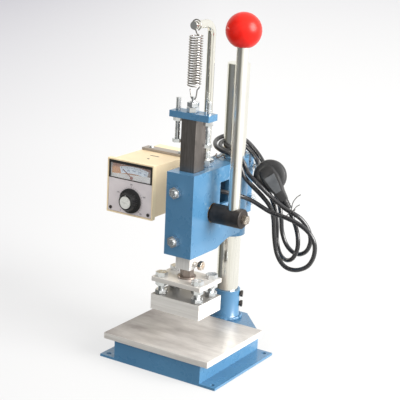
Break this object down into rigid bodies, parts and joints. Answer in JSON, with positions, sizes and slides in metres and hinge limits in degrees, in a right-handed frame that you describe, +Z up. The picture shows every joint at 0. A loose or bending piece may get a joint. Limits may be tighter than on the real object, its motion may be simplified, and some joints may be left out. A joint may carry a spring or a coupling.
{
  "type": "hot foil stamper",
  "caption": "Bench hot foil stamper: folded base with a work plate, column, adjustable head, rack-driven ram with a heated block, ball-ended lever, spring and temperature controller.",
  "frame": {"origin": "the column's axis where its foot meets the bench", "axes": "+Z up along the column, front of the stamper towards -Y (the stamping axis is 98 mm in front of the column), +X to the right seen from the front, on the lever's side"},
  "size_m": [0.2868, 0.2784, 0.4316],
  "materials": {
    "blue_enamel": "stoved enamel",
    "aluminium": "brushed",
    "polished_steel": "ground and polished",
    "dark_steel": "as drawn, oiled",
    "zinc": "bright zinc plate",
    "spring_steel": "drawn wire",
    "bronze": "sintered bronze",
    "black_oxide": "black oxide",
    "red_plastic": "glossy",
    "beige_plastic": "satin moulding",
    "panel_grey": "printed panel",
    "black_plastic": "satin moulding",
    "clear_plastic": "clear window",
    "dial_white": "printed dial",
    "rubber": "flexible PVC and rubber",
    "brass": "machined"
  },
  "bodies": {
    "base": {"base_frame": "blue_enamel", "work_plate": "aluminium", "column_socket": "blue_enamel", "column": "polished_steel", "socket_screw_upper": "black_oxide", "socket_screw_lower": "black_oxide"},
    "head": {"head_housing": "blue_enamel", "spring_hanger": "polished_steel", "gib_screw_upper": "zinc", "gib_screw_lower": "zinc", "clamp_bolt_upper": "zinc", "clamp_bolt_lower": "zinc", "hanger_nut": "zinc", "controller_bracket": "zinc", "bracket_screw_left": "zinc", "bracket_screw_right": "zinc", "cord_tie": "zinc", "return_spring": "spring_steel", "bush_left": "bronze", "bush_right": "bronze", "panel_screw_left": "black_oxide", "panel_screw_right": "black_oxide", "controller_case": "beige_plastic", "controller_bezel": "beige_plastic", "front_panel": "panel_grey", "terminal_block": "black_plastic", "meter_window": "clear_plastic", "meter_scale": "dial_white", "cord_gland": "rubber", "power_cord": "rubber", "mains_plug": "rubber", "front_gib": "brass", "left_guide": "brass", "right_guide": "brass", "plug_pin_left": "brass", "plug_pin_right": "brass"},
    "ram": {"ram": "dark_steel", "crossbar": "blue_enamel", "spring_eye_bolt": "zinc", "stop_bolt_left": "zinc", "stop_bolt_right": "zinc", "tool_shank": "dark_steel", "shank_screw": "zinc", "upper_plate": "aluminium", "levelling_bolt_front_left": "zinc", "levelling_bolt_front_right": "zinc", "levelling_bolt_back_left": "zinc", "levelling_bolt_back_right": "zinc", "heating_block": "aluminium", "cartridge_heater_left": "polished_steel", "cartridge_heater_right": "polished_steel", "thermocouple": "zinc"},
    "lever": {"pinion_shaft": "dark_steel", "lever_hub": "black_oxide", "hub_bolt": "zinc", "lever_rod": "polished_steel", "ball_knob": "red_plastic"},
    "knob": {"set_knob": "black_plastic", "knob_cap": "aluminium"},
    "needle": {"meter_needle": "red_plastic"}
  },
  "joints": [
    {"name": "head_height", "type": "slide", "parent": "base", "child": "head", "axis": [0, 0, 1], "range_m": [-0.005, 0.11]},
    {"name": "ram_slide", "type": "slide", "parent": "head", "child": "ram", "axis": [0, 0, -1], "range_m": [0, 0.0238], "stiffness_N_per_m": 700, "springref_m": -0.03, "deforming": ["return_spring"]},
    {"name": "lever_turn", "type": "hinge", "parent": "head", "child": "lever", "pos_m": [0, -0.0754, 0.1865], "axis": [1, 0, 0], "range_deg": [0, 130]},
    {"name": "knob_turn", "type": "hinge", "parent": "head", "child": "knob", "pos_m": [-0.1171, -0.056, 0.1712], "axis": [0, 1, 0], "range_deg": [-135, 135]},
    {"name": "needle_turn", "type": "hinge", "parent": "head", "child": "needle", "pos_m": [-0.119, -0.0529, 0.2003], "axis": [0, 1, 0], "range_deg": [0, 110], "stiffness_Nm_per_rad": 0.0002, "springref_deg": -5.73}
  ],
  "couplings": [
    {"joint": "lever_turn", "follows": "ram_slide", "rad_per_m": 95.238}
  ]
}
